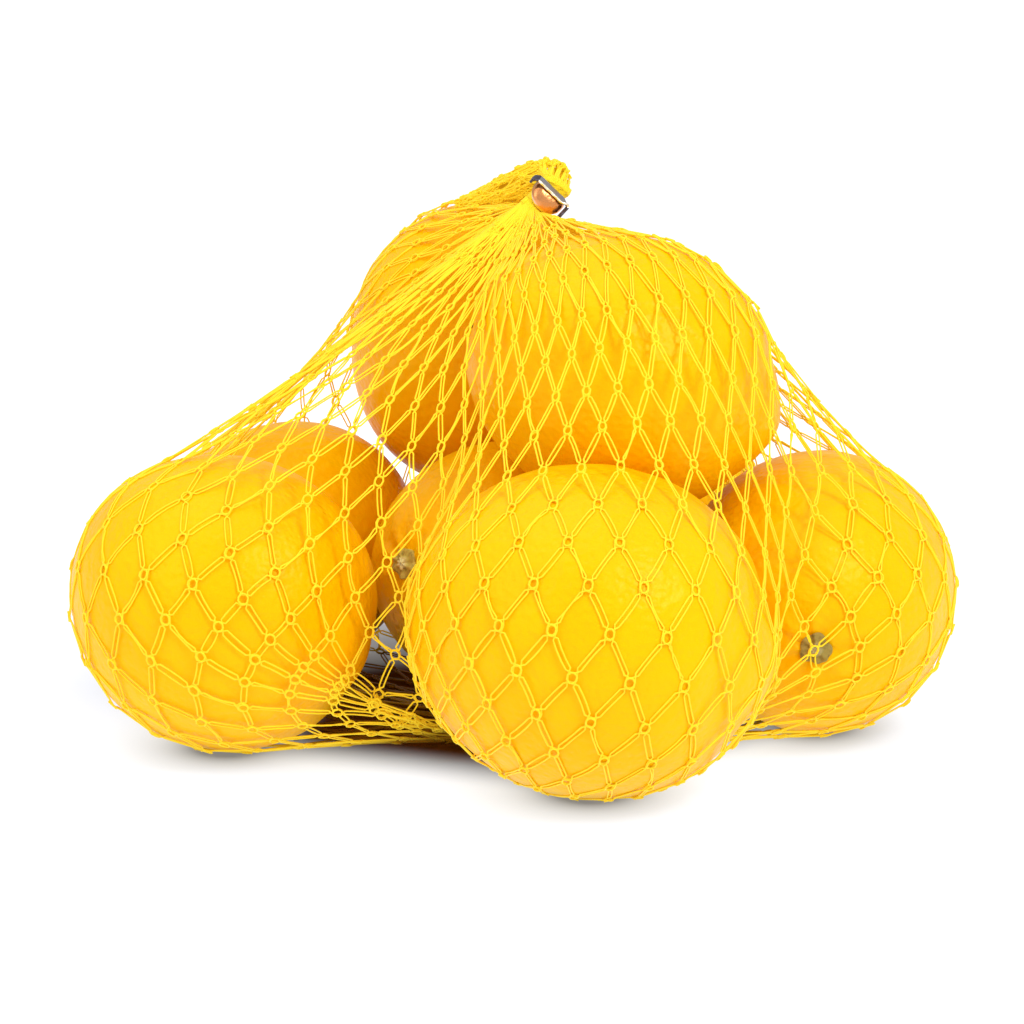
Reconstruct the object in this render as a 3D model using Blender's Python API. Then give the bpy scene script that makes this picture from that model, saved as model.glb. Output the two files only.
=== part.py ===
# Net of lemons: a heap of eight lemons held tight in a knitted plastic net.
# The net is open, so the solid is what shows through it: the lemons, each thicker by the net
# on its peel, and the net's gathered top. That is drawn together into a neck, shut by a
# crimped metal clip, and ends in a short crumpled tail that has flopped back over the top.
# The net with what it holds is one solid, and the clip is the other.
# Lengths are in millimetres until the meshes are made. The front is -Y.

import math

import bpy
import numpy as np

for old in list(bpy.data.objects):
    bpy.data.objects.remove(old, do_unlink=True)

MM = 0.001

# ---------------------------------------------------------------- the lemons
# Each row: where its middle is (x, y), which way its stem end points (heading from +X, then
# tilt above level), diameter and length. The two on top also have a height.
LEMONS = {
    "front": ((14.5, -56.1), 159, 7, 65.5, 73.5, None),
    "left": ((-60.0, -26.1), 151, 15, 60.5, 65.0, None),
    "back_left": ((-51.5, 33.9), 43, 8, 54.5, 63.5, None),
    "right": ((63.0, -12.1), -95, -5, 57.5, 68.0, None),
    "middle": ((-1.0, 9.4), -136, 13, 55.0, 66.0, None),
    "back": ((27.5, 61.9), 151, -11, 53.0, 60.5, None),
    "top_right": ((21.5, -11.1), 166, 17, 57.0, 66.5, 76.5),
    "top_left": ((-8.0, 47.4), 116, -61, 56.5, 68.5, 71.5),
}
NET_THICK = 0.8  # the strands under a lemon lift it off the table by this much
NET_STANDOFF = 1.2  # how far the net's outside stands off a lemon
TIP_REACH, TIP_WIDTH = 1.1, 0.17  # the blossom end's blunt tip, and its half width in radians
TIP_GROOVE = 0.028  # depth of the groove round it, as a part of the radius
STEM_REACH, STEM_WIDTH = 0.9, 0.11  # the dry stalk end, a low button
LEMON_AROUND, LEMON_ALONG = 26, 18  # faces around and along a lemon

# ---------------------------------------------------------------- the gathered top
CLIP_MIDDLE = np.array([7.9, 14.4, 108.8])
NECK_WAY = np.array([0.45, 0.30, 0.84])  # the way the neck leans, towards the tail
CLIP_WAY = np.array([0.70, 0.08, -0.71])  # the way the clip's straight side runs
NECK_BELOW = 4.2  # the net comes together this far below the clip's middle
NECK_HALF_WIDE = 3.5
NECK_HALF_THICK = 2.1
BUNDLE_AROUND = 36
# The strands fan out below the neck and run over the two top lemons: the fan's middle line,
# from where those two touch up to the neck, with its two half sizes.
FAN = (
    ((7.2, 17.5, 71.0), 1.5, 1.5),
    ((6.4, 17.2, 79.0), 7.5, 9.0),
    ((5.6, 16.4, 88.0), 11.0, 12.5),
    ((5.4, 15.2, 95.0), 10.0, 11.0),
    ((5.5, 14.3, 100.0), 7.0, 7.0),
    ((5.8, 13.6, 103.0), 4.6, 3.8),
)
# The tail's middle line from the clip's middle, with its two half sizes.
TAIL = (
    ((0.9, 0.7, 1.9), 3.3, 2.3),
    ((1.9, 2.2, 4.0), 3.0, 2.9),
    ((0.9, 5.5, 4.9), 2.9, 3.6),
    ((-3.0, 10.0, 4.1), 2.9, 4.4),
    ((-7.5, 15.0, 2.4), 2.6, 4.6),
    ((-11.5, 19.5, 0.4), 2.1, 4.0),
    ((-14.5, 22.5, -1.2), 1.3, 2.6),
)
TAIL_CRUMPLE = 0.10  # how deep the lengthwise folds are, as a part of the radius
TAIL_FOLDS = 5
TAIL_TURN = 0.9  # how far the folds turn from ring to ring, in radians
TAIL_TIP = 0.8  # the rounded end beyond the last ring

# ---------------------------------------------------------------- the clip
CLIP_GAP = 0.3  # between the clip and the neck
CLIP_SHEET = 0.8
CLIP_HALF_BAND = 1.0  # half width of the band where it is plain
CLIP_CROWN = 2.8  # how much further down the rounded front reaches
CLIP_DOME = 0.5  # how far the rounded front bulges
CLIP_SQUARENESS = 3.0  # 2 is an oval, more is squarer
CLIP_STATIONS = 64
HOOK_LENGTH = 1.6  # the crimped end that stands out at the upper left
HOOK_HALF_TURN = 0.22  # half of the turn round the clip that it takes, in radians
HOOK_THICK = 0.7


def unit(vector):
    """The vector at length 1."""
    return vector / np.linalg.norm(vector)


def direction(heading, tilt):
    """Unit vector at a heading from +X and a tilt above level, both in degrees."""
    h, t = math.radians(heading), math.radians(tilt)
    return np.array([math.cos(t) * math.cos(h), math.cos(t) * math.sin(h), math.sin(t)])


def grid_faces(rows, around):
    """Quads between the points of rows of rings, which are stored one after another."""
    i, j = np.meshgrid(np.arange(rows - 1), np.arange(around), indexing="ij")
    one, two = i * around + j, i * around + (j + 1) % around
    return np.stack([one, two, two + around, one + around], axis=-1).reshape(-1, 4).tolist()


def end_faces(start, around, point, flipped):
    """A fan of triangles that closes a ring onto a point."""
    fan = [(start + j, start + (j + 1) % around, point) for j in range(around)]
    return [face[::-1] for face in fan] if flipped else fan


def lemon_mesh(place, heading, tilt, diameter, length, height):
    """(points, faces) of one lemon with the net's thickness on it.

    Rings run from the stem's pole to the tip's. Along a direction at angle p to the stem the
    surface is at a b / sqrt((b cos p)^2 + (a sin p)^2), with a low button at the stem, a
    blunt tip at the other end and a groove round that.
    """
    a, b, t = length / 2, diameter / 2, math.radians(tilt)
    lying = NET_THICK + math.hypot(a * math.sin(t), b * math.cos(t))
    middle = np.array([*place, lying if height is None else height])
    stem = direction(heading, tilt)
    side = unit(np.cross([0, 0, 1.0], stem))
    upper = np.cross(stem, side)
    p = np.concatenate([[0], (np.arange(LEMON_ALONG) + 0.5) * math.pi / LEMON_ALONG, [math.pi]])
    reach = a * b / np.sqrt((b * np.cos(p)) ** 2 + (a * np.sin(p)) ** 2)
    reach += TIP_REACH * np.exp(-(((math.pi - p) / TIP_WIDTH) ** 2))
    reach *= 1 - TIP_GROOVE * np.exp(-(((math.pi - p - 0.42) / 0.16) ** 2))
    reach += NET_STANDOFF + STEM_REACH * np.exp(-((p / STEM_WIDTH) ** 2))
    u = np.arange(LEMON_AROUND) * 2 * math.pi / LEMON_AROUND
    ring = np.cos(u)[:, None] * side + np.sin(u)[:, None] * upper
    way = np.cos(p)[:, None, None] * stem + np.sin(p)[:, None, None] * ring
    points = middle + reach[:, None, None] * way
    count = LEMON_ALONG * LEMON_AROUND
    points = np.concatenate([points[1:-1].reshape(-1, 3), points[0, :1], points[-1, :1]])
    faces = grid_faces(LEMON_ALONG, LEMON_AROUND)
    faces += end_faces(0, LEMON_AROUND, count, True)
    faces += end_faces(count - LEMON_AROUND, LEMON_AROUND, count + 1, False)
    return points, faces


def neck_axes():
    """The neck's own axes: along it to the tail, across its width, and to its front."""
    along = unit(NECK_WAY)
    wide = unit(CLIP_WAY - along * (CLIP_WAY @ along))
    return along, wide, np.cross(wide, along)


def bundle_mesh():
    """(points, faces) of the gathered net: fan, neck and crumpled tail in one tube.

    Each ring is an oval square to the middle line, a cos(u) across + b sin(u) thick. Out of
    the clip its radius is crumpled by lengthwise folds that turn slowly along the tail.
    """
    along, wide, _ = neck_axes()
    foot = CLIP_MIDDLE - NECK_BELOW * along
    path = [(np.array(middle), a, b) for middle, a, b in FAN]
    path += [(foot + s * NECK_BELOW * along, NECK_HALF_WIDE, NECK_HALF_THICK) for s in (0, 0.5, 1)]
    path += [(CLIP_MIDDLE + offset, a, b) for offset, a, b in TAIL]
    middles = np.array([middle for middle, _, _ in path])
    ways = np.gradient(middles, axis=0)
    turns = np.arange(BUNDLE_AROUND) / BUNDLE_AROUND
    u = turns * 2 * math.pi
    clipped = len(FAN) + 2
    rings = []
    for k, (middle, a, b) in enumerate(path):
        way = unit(ways[k])
        across = unit(wide - way * (way @ wide))
        loose = min(max(k - clipped, 0) / 3, 1)
        crumple = 1 + loose * TAIL_CRUMPLE * np.sin(TAIL_FOLDS * u + TAIL_TURN * k)
        oval = (a * np.cos(u))[:, None] * across + (b * np.sin(u))[:, None] * np.cross(way, across)
        rings.append(middle + crumple[:, None] * oval)
    tip = middles[-1] + TAIL_TIP * unit(middles[-1] - middles[-2])
    points = np.concatenate([np.concatenate(rings), [middles[0], tip]])
    count = len(rings) * BUNDLE_AROUND
    faces = grid_faces(len(rings), BUNDLE_AROUND)
    faces += end_faces(0, BUNDLE_AROUND, count, True)
    faces += end_faces(count - BUNDLE_AROUND, BUNDLE_AROUND, count + 1, False)
    return points, faces


def clip_mesh():
    """(points, faces) of the clip: a metal strip bent right round the neck.

    Its path is a rounded rectangle about the neck. Across the strip go seven points: the
    inner and the outer side of its upper edge, of its bulge and of its lower edge. The lower
    edge reaches down at the front in a half round, and the upper edge stands out at one end.
    """
    along, wide, front = neck_axes()
    u = np.arange(CLIP_STATIONS) * 2 * math.pi / CLIP_STATIONS
    cos, sin = np.cos(u), np.sin(u)
    power = CLIP_SQUARENESS
    square = (np.abs(cos) ** power + np.abs(sin) ** power) ** (-1 / power)
    crown = np.sqrt(np.maximum(1 - (cos * square) ** 2, 0)) * (sin > 0)
    hook = HOOK_LENGTH * np.exp(-(((u - math.pi) / HOOK_HALF_TURN) ** 2))
    section = (
        (0, CLIP_HALF_BAND + 0 * u, 0 * u),
        (CLIP_SHEET, CLIP_HALF_BAND + 0 * u, hook),
        (CLIP_SHEET, CLIP_HALF_BAND - HOOK_THICK + 0 * u, hook),
        (CLIP_SHEET, -0.5 * CLIP_CROWN * crown, CLIP_DOME * crown),
        (CLIP_SHEET, -CLIP_HALF_BAND - CLIP_CROWN * crown, 0 * u),
        (0, -CLIP_HALF_BAND - CLIP_CROWN * crown, 0 * u),
        (0, -0.5 * CLIP_CROWN * crown, CLIP_DOME * crown),
    )
    rows = []
    for out, height, more in section:
        a = NECK_HALF_WIDE + CLIP_GAP + out + more
        b = NECK_HALF_THICK + CLIP_GAP + out + more
        flat = (a * cos * square)[:, None] * wide + (b * sin * square)[:, None] * front
        rows.append(CLIP_MIDDLE + flat + height[:, None] * along)
    rows.append(rows[0])
    faces = np.array(grid_faces(len(rows), CLIP_STATIONS)) % (len(section) * CLIP_STATIONS)
    return np.concatenate(rows[:-1]), faces.tolist()


def material(name, colour, roughness, metallic):
    """A Principled material with a linear colour."""
    made = bpy.data.materials.new(name)
    made.use_nodes = True
    shader = made.node_tree.nodes["Principled BSDF"]
    shader.inputs["Base Color"].default_value = (*colour, 1)
    shader.inputs["Roughness"].default_value = roughness
    shader.inputs["Metallic"].default_value = metallic
    return made


def add_object(name, points, faces, finish):
    """A mesh object in metres, its faces turned outwards."""
    mesh = bpy.data.meshes.new(name)
    mesh.from_pydata((points * MM).tolist(), [], faces)
    mesh.calc_loop_triangles()
    corners = np.array([triangle.vertices[:] for triangle in mesh.loop_triangles])
    if np.linalg.det(points[corners]).sum() < 0:
        mesh.flip_normals()
    mesh.shade_smooth()
    mesh.set_sharp_from_angle(angle=math.radians(40))
    mesh.materials.append(finish)
    made = bpy.data.objects.new(name, mesh)
    bpy.context.scene.collection.objects.link(made)
    return made


lemons = {name: lemon_mesh(*sizes) for name, sizes in LEMONS.items()}
bundle, bundle_faces = bundle_mesh()
every = np.concatenate([bundle, *[points for points, _ in lemons.values()]])
middle = (every.min(axis=0) + every.max(axis=0)) / 2
centred = -np.array([middle[0], middle[1], 0])

# Everything below the table's top is cut off, which leaves each lemon there a small flat.
corners = np.array([[x, y, z] for z in (-20, 0) for x, y in ((-1, -1), (1, -1), (1, 1), (-1, 1))])
sides = [(0, 3, 2, 1), (4, 5, 6, 7), (0, 1, 5, 4), (1, 2, 6, 5), (2, 3, 7, 6), (3, 0, 4, 7)]
net = material("lemon_net", (1.0, 0.62, 0.01), 0.45, 0)
net_bag = add_object("net_bag", bundle + centred, bundle_faces, net)
lemons["table"] = (corners * [200, 200, 1], sides)
for name, (points, faces) in lemons.items():
    helper = add_object("helper_" + name, points + centred, faces, net)
    helper.hide_render = True
    helper.display_type = "WIRE"
    change = net_bag.modifiers.new(name, "BOOLEAN")
    change.operation = "DIFFERENCE" if name == "table" else "UNION"
    change.object = helper

clip, clip_faces = clip_mesh()
add_object("clip", clip + centred, clip_faces, material("clip_metal", (0.55, 0.54, 0.52), 0.3, 1))
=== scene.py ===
"""Looks of a net of lemons: eight lemons, their stem ends, the knitted net and its clip.

Sizes are in millimetres until a mesh is made. The origin is under the middle of the heap,
on the table, with the front at -Y and +Z up.
"""

import math

import bpy
import numpy as np
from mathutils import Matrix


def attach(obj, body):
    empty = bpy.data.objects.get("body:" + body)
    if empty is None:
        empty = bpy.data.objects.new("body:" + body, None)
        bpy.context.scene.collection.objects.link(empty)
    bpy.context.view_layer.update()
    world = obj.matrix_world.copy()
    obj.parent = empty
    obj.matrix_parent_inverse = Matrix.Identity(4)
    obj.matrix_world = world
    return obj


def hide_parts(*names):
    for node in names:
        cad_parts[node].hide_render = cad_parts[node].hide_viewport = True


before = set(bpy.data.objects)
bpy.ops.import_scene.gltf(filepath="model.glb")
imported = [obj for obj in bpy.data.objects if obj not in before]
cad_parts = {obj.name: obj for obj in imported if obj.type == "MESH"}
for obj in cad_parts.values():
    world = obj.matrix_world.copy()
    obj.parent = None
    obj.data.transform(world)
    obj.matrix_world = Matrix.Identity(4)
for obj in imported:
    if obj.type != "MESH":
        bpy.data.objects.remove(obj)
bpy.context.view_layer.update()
MM = 0.001

# ---------------------------------------------------------------------------- the lemons
# Ripe Eureka-type lemons: a firm, waxy peel full of oil glands over a fruit that is a little
# longer than wide, with a blunt tip at the blossom end and a puckered collar at the stem end.
# They lie in the net as they fell, six on the table and two on top.

# Middle (x, y), the way the stem end points (heading from +X, tilt), diameter, length, and
# the middle's height for the two on top.
LEMONS = {
    "front": ((14.5, -56.1), 159, 7, 65.5, 73.5, None),
    "left": ((-60.0, -26.1), 151, 15, 60.5, 65.0, None),
    "back_left": ((-51.5, 33.9), 43, 8, 54.5, 63.5, None),
    "right": ((63.0, -12.1), -95, -5, 57.5, 68.0, None),
    "middle": ((-1.0, 9.4), -136, 13, 55.0, 66.0, None),
    "back": ((27.5, 61.9), 151, -11, 53.0, 60.5, None),
    "top_right": ((21.5, -11.1), 166, 17, 57.0, 66.5, 76.5),
    "top_left": ((-8.0, 47.4), 116, -61, 56.5, 68.5, 71.5),
}
NET_UNDER = 0.8  # the strands under a lemon lift it off the table by this much
LEMON_AROUND, LEMON_ALONG = 192, 128  # grid of a lemon's surface
# Places and half widths on the peel are angles from the tip or from the stem, in radians.
TIP_REACH, TIP_WIDTH = 1.1, 0.17  # the blossom end's blunt tip
GROOVE_DEPTH, GROOVE_PLACE, GROOVE_WIDTH = 0.028, 0.42, 0.16  # round it, a part of the radius
COLLAR_COUNT, COLLAR_RIB = 7, 0.35  # the furrows that run out from the stem
COLLAR_PLACE, COLLAR_WIDTH = 0.16, 0.13
DIMPLE_DEPTH, DIMPLE_WIDTH = 1.2, 0.12  # the hollow that the stem end sits in
# How high the peel's unevenness is, of how many waves, and their least and most radians each.
LUMPS = (0.45, 9, 1.5, 4.5)
RIPPLES = (0.07, 24, 12, 30)
PEEL_LIGHT, PEEL_DEEP = "#FFCC00", "#FFB900"
PEEL_ROUGH, PEEL_GLOSS, PEEL_TINT = 0.37, 0.2, "#FFF2A0"  # the wax
PATCH_SCALE, GLAND_SCALE, PORE_SCALE = 38.0, 700.0, 420.0  # a metre: 26, 1.4 and 2.4 mm each
GLAND_STRENGTH, GLAND_DEPTH = 0.8, 0.0003
PITH_PART, PITH_DEPTH, PITH_COLOUR = 0.2, 0.003, (1.0, 0.6, 0.05)  # light that goes into the rind


def unit(vector):
    """The vector at length 1."""
    vector = np.asarray(vector, float)
    return vector / np.maximum(np.linalg.norm(vector, axis=-1, keepdims=True), 1e-12)


def direction(heading, tilt):
    """Unit vector at a heading from +X and a tilt above level, both in degrees."""
    h, t = math.radians(heading), math.radians(tilt)
    return np.array([math.cos(t) * math.cos(h), math.cos(t) * math.sin(h), math.sin(t)])


def lemon_axes(name):
    """(middle, three axes with the stem's first, half length, half diameter).

    A lemon on the table has its middle at sqrt((a sin t)^2 + (b cos t)^2) above the strands.
    """
    (x, y), heading, tilt, diameter, length, height = LEMONS[name]
    a, b, t = length / 2, diameter / 2, math.radians(tilt)
    z = NET_UNDER + math.hypot(a * math.sin(t), b * math.cos(t)) if height is None else height
    stem = direction(heading, tilt)
    side = unit(np.cross([0, 0, 1.0], stem))
    return np.array([x, y, z]), np.array([stem, side, np.cross(stem, side)]), a, b


def unevenness(ways, seed, height, count, low, high):
    """Heights over directions: height / sqrt(count) times a sum of sines of plane waves."""
    random = np.random.default_rng(seed)
    waves = unit(random.normal(size=(count, 3))) * random.uniform(low, high, (count, 1))
    phases = random.uniform(0, 2 * math.pi, count)
    return height * (np.sin(ways @ waves.T + phases).sum(axis=-1) / math.sqrt(count))


def lemon_reach(name, ways):
    """Distance from the lemon's middle to its surface along unit directions.

    It is the ellipsoid's a b / sqrt((b cos)^2 + (a sin)^2), raised at the blossom end into a
    blunt tip with a groove round it, furrowed round the stem, and uneven all over.
    """
    _, axes, a, b = lemon_axes(name)
    seed = list(LEMONS).index(name)
    local = ways @ axes.T
    cos = np.clip(local[..., 0], -1, 1)
    sin = np.sqrt(1 - cos**2)
    reach = a * b / np.sqrt((b * cos) ** 2 + (a * sin) ** 2)
    from_tip, from_stem = np.arccos(-cos), np.arccos(cos)
    reach = reach + TIP_REACH * np.exp(-((from_tip / TIP_WIDTH) ** 2))
    groove = np.exp(-(((from_tip - GROOVE_PLACE) / GROOVE_WIDTH) ** 2))
    reach = reach * (1 - GROOVE_DEPTH * groove)
    around = np.arctan2(local[..., 2], local[..., 1])
    furrows = np.cos(COLLAR_COUNT * around + 2 * np.sin(around + seed))
    collar = np.exp(-(((from_stem - COLLAR_PLACE) / COLLAR_WIDTH) ** 2))
    reach = reach - COLLAR_RIB * (1 + furrows) * collar
    reach = reach - DIMPLE_DEPTH * np.exp(-((from_stem / DIMPLE_WIDTH) ** 2))
    reach = reach + unevenness(local, 10 + seed, *LUMPS)
    return reach + unevenness(local, 40 + seed, *RIPPLES)


def grid_faces(rows, columns, wrap=True):
    """Quads between the points of a grid, stored row by row, closed around if it wraps."""
    i, j = np.meshgrid(np.arange(rows - 1), np.arange(columns - (not wrap)), indexing="ij")
    a, b = i * columns + j, i * columns + (j + 1) % columns
    return np.stack([a, b, b + columns, a + columns], axis=-1).reshape(-1, 4)


def add_mesh(name, points, faces, smooth=True):
    """A mesh object from points in millimetres and faces that are arrays of equal length."""
    mesh = bpy.data.meshes.new(name)
    faces = [np.asarray(group) for group in (faces if isinstance(faces, list) else [faces])]
    corners = np.concatenate([group.ravel() for group in faces]).astype(np.int32)
    sizes = np.concatenate([np.full(len(group), group.shape[1]) for group in faces])
    mesh.vertices.add(len(points))
    mesh.vertices.foreach_set("co", (np.asarray(points) * MM).astype(np.float32).ravel())
    mesh.loops.add(len(corners))
    mesh.loops.foreach_set("vertex_index", corners)
    mesh.polygons.add(len(sizes))
    starts = np.concatenate([[0], np.cumsum(sizes)[:-1]]).astype(np.int32)
    mesh.polygons.foreach_set("loop_start", starts)
    mesh.polygons.foreach_set("use_smooth", np.full(len(sizes), smooth))
    mesh.update(calc_edges=True)
    mesh.validate()
    made = bpy.data.objects.new(name, mesh)
    bpy.context.scene.collection.objects.link(made)
    return made


def add_layer(made, name, values):
    """Gives a mesh one number at each of its points, for its material to read."""
    layer = made.data.attributes.new(name, "FLOAT", "POINT")
    layer.data.foreach_set("value", values.astype(np.float32))


def linear(colour):
    """Linear RGBA from an sRGB hex colour."""
    parts = np.array([int(colour[i : i + 2], 16) for i in (1, 3, 5)]) / 255
    parts = np.where(parts <= 0.04045, parts / 12.92, ((parts + 0.055) / 1.055) ** 2.4)
    return (*parts.tolist(), 1.0)


def add_node(tree, kind, links=None, **settings):
    """A node with its settings, and its inputs given values or linked to sockets."""
    node = tree.nodes.new(kind)
    for key, value in settings.items():
        setattr(node, key, value)
    for key, value in (links or {}).items():
        socket = node.inputs[key]
        if isinstance(value, bpy.types.NodeSocket):
            tree.links.new(value, socket)
        else:
            socket.default_value = value
    return node


def new_material(name):
    """A material, its node tree and its Principled shader.

    Light that it gives off is found where it falls, without rays sent to look for it.
    """
    made = bpy.data.materials.new(name)
    made.use_nodes = True
    made.cycles.emission_sampling = "NONE"
    tree = made.node_tree
    return made, tree, tree.nodes["Principled BSDF"]


def lemon_peel():
    """Waxed lemon peel.

    The oil glands lie 1.4 mm apart and dimple the peel. The colour goes from yellow to a
    deeper gold in soft patches a few centimetres wide, and light goes a little way in.
    """
    made, tree, shader = new_material("waxed_lemon_peel")
    place = add_node(tree, "ShaderNodeTexCoord").outputs["Object"]
    patches = add_node(
        tree, "ShaderNodeTexNoise", {"Vector": place, "Scale": PATCH_SCALE, "Detail": 3.0}
    )
    colours = add_node(
        tree,
        "ShaderNodeMix",
        {
            "Factor": patches.outputs["Fac"],
            "A": linear(PEEL_LIGHT),
            "B": linear(PEEL_DEEP),
        },
        data_type="RGBA",
    )
    glands = add_node(
        tree, "ShaderNodeTexVoronoi", {"Vector": place, "Scale": GLAND_SCALE}, feature="SMOOTH_F1"
    )
    pores = add_node(
        tree, "ShaderNodeTexNoise", {"Vector": place, "Scale": PORE_SCALE, "Detail": 2.0}
    )
    height = add_node(
        tree,
        "ShaderNodeMath",
        {0: pores.outputs["Fac"], 1: glands.outputs["Distance"]},
        operation="ADD",
    )
    bump = add_node(
        tree,
        "ShaderNodeBump",
        {"Height": height.outputs[0], "Strength": GLAND_STRENGTH, "Distance": GLAND_DEPTH},
    )
    tree.links.new(colours.outputs["Result"], shader.inputs["Base Color"])
    tree.links.new(bump.outputs[0], shader.inputs["Normal"])
    shader.inputs["Roughness"].default_value = PEEL_ROUGH
    shader.inputs["Specular IOR Level"].default_value = PEEL_GLOSS
    shader.inputs["Specular Tint"].default_value = linear(PEEL_TINT)
    shader.inputs["Subsurface Weight"].default_value = PITH_PART
    shader.inputs["Subsurface Radius"].default_value = PITH_COLOUR
    shader.inputs["Subsurface Scale"].default_value = PITH_DEPTH
    return made


def add_lemon(name, peel):
    """One lemon: rings from the stem's pole to the tip's, at the reach of each direction."""
    middle, axes, _, _ = lemon_axes(name)
    polar = (np.arange(LEMON_ALONG) + 0.5) * math.pi / LEMON_ALONG
    around = np.arange(LEMON_AROUND) * 2 * math.pi / LEMON_AROUND
    p, q = np.meshgrid(polar, around, indexing="ij")
    local = np.stack([np.cos(p), np.sin(p) * np.cos(q), np.sin(p) * np.sin(q)], axis=-1)
    ways = np.concatenate([(local @ axes).reshape(-1, 3), [axes[0], -axes[0]]])
    points = middle + ways * lemon_reach(name, ways)[:, None]
    count, last = LEMON_ALONG * LEMON_AROUND, (LEMON_ALONG - 1) * LEMON_AROUND
    j = np.arange(LEMON_AROUND)
    after = (j + 1) % LEMON_AROUND
    quads = grid_faces(LEMON_ALONG, LEMON_AROUND)[:, ::-1]
    stem_cap = np.stack([j, after, np.full(LEMON_AROUND, count)], axis=1)
    tip_cap = np.stack([last + after, last + j, np.full(LEMON_AROUND, count + 1)], axis=1)
    made = add_mesh("lemon_" + name, points, [quads, stem_cap, tip_cap])
    made.data.materials.append(peel)
    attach(made, "root")
    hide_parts("net_bag")


peel = lemon_peel()
for name in LEMONS:
    add_lemon(name, peel)

# ------------------------------------------------------------------------ the stem ends
# The dry calyx stays on a lemon when it is clipped from the tree: a grey-brown star of five
# blunt sepals pressed onto the peel, with the woody cut end of the stalk in its middle.

CALYX_RADIUS, CALYX_AROUND = 3.5, 60
SEPALS, SEPAL_DEPTH = 5, 0.16  # how far the edge dips between the sepals
EDGE_WAVE, SEPAL_RIB = 0.05, 0.10  # uneven edge, and ribs along the sepals
CAP_LIFT = 0.55  # the cap's foot over the lemon's dimple
BUTTON_HEIGHT = 0.9  # of the cut end of the stalk
# The cap from the button's middle to under its edge: part of the radius and of the height.
CAP_PARTS = np.array([0.02, 0.2, 0.36, 0.42, 0.47, 0.55, 0.7, 0.85, 0.95, 1.0, 0.97])
CAP_HEIGHTS = np.array([1.0, 1.0, 0.95, 0.8, 0.45, 0.3, 0.28, 0.22, 0.12, -0.05, -0.6])
# Colours of the sepals and of the stalk's cut end: of most, and of three lemons whose stem ends
# are coloured otherwise.
CALYX_PLAIN = ("#A08C40", "#C8BA7C")
CALYX = {
    "right": ("#A38D3E", "#D8CC92"),
    "middle": ("#C4B450", "#FFFFC2"),
    "top_right": ("#5C4520", "#3A2814"),
}
FURROW_BROWN, FURROW_PART = "#2E2410", 0.6
FIBRE_SCALE, FIBRE_DEPTH = 900.0, 0.0004  # a metre: fibres about 1 mm apart


def calyx_finish(name):
    """Dry calyx and cut stalk: dull, fibrous, darker in its furrows."""
    sepals, cut = CALYX.get(name, CALYX_PLAIN)
    made, tree, shader = new_material("dry_calyx_" + name)
    cut_end = add_node(tree, "ShaderNodeAttribute", attribute_name="cut_end")
    place = add_node(tree, "ShaderNodeTexCoord").outputs["Object"]
    fibres = add_node(
        tree, "ShaderNodeTexNoise", {"Vector": place, "Scale": FIBRE_SCALE, "Detail": 4.0}
    )
    base = add_node(
        tree,
        "ShaderNodeMix",
        {"Factor": cut_end.outputs["Fac"], "A": linear(sepals), "B": linear(cut)},
        data_type="RGBA",
    )
    furrows = add_node(
        tree,
        "ShaderNodeMapRange",
        {"Value": fibres.outputs["Fac"], "From Min": 0.5, "From Max": 0.75, "To Max": FURROW_PART},
    )
    dark = add_node(
        tree,
        "ShaderNodeMix",
        {"Factor": furrows.outputs[0], "A": base.outputs["Result"], "B": linear(FURROW_BROWN)},
        data_type="RGBA",
    )
    bump = add_node(
        tree,
        "ShaderNodeBump",
        {"Height": fibres.outputs["Fac"], "Strength": 0.6, "Distance": FIBRE_DEPTH},
    )
    tree.links.new(dark.outputs["Result"], shader.inputs["Base Color"])
    tree.links.new(bump.outputs[0], shader.inputs["Normal"])
    shader.inputs["Roughness"].default_value = 0.75
    return made


def add_calyx(name):
    """A lobed cap that follows the peel about the stem's pole, with a button on top.

    Over polar steps r and turns u its edge is R (1 - depth (1 - |cos(5 u / 2)|)), its height
    a rounded rim that rises to the button's flat top, all measured off the lemon's surface.
    """
    middle, axes, a, _ = lemon_axes(name)
    seed = list(LEMONS).index(name)
    turns = np.arange(CALYX_AROUND) * 2 * math.pi / CALYX_AROUND
    dip = SEPAL_DEPTH * (1 - np.abs(np.cos(SEPALS * turns / 2 + seed)))
    edge = CALYX_RADIUS * (1 - dip + EDGE_WAVE * np.sin(3 * turns + seed))
    radius = CAP_PARTS[:, None] * edge
    ribs = SEPAL_RIB * np.sin(SEPALS * turns * 2 + seed) * CAP_PARTS[:, None]
    rise = BUTTON_HEIGHT * CAP_HEIGHTS[:, None] + ribs
    flat = np.cos(turns)[:, None] * axes[1] + np.sin(turns)[:, None] * axes[2]
    ways = unit(axes[0] * a + radius[..., None] * flat)
    reach = lemon_reach(name, ways) + CAP_LIFT
    points = middle + ways * (reach + rise)[..., None]
    points = np.concatenate([points.reshape(-1, 3), points[0].mean(axis=0, keepdims=True)])
    rings = len(CAP_PARTS)
    j = np.arange(CALYX_AROUND)
    pole = np.full(CALYX_AROUND, rings * CALYX_AROUND)
    cap = np.stack([(j + 1) % CALYX_AROUND, j, pole], axis=1)[:, ::-1]
    sides = grid_faces(rings, CALYX_AROUND)[:, ::-1]
    made = add_mesh("stem_end_" + name, points, [sides, cap])
    cut = np.clip(1.4 - CAP_PARTS * 3.0, 0, 1)  # 1 on the cut end, 0 on the sepals
    add_layer(made, "cut_end", np.append(np.repeat(cut, CALYX_AROUND), 1.0))
    made.data.materials.append(calyx_finish(name))
    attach(made, "root")
    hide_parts("net_bag")


for name in LEMONS:
    add_calyx(name)

# ------------------------------------------------------------------------------ the net
# A tube knitted of clear yellow polyethylene filament. Every mesh is bound by a loop of one
# filament, so two run side by side between knots, and at each knot the four loops that meet
# there go round one another in a small ring. The lemons stretch it tight.

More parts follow.
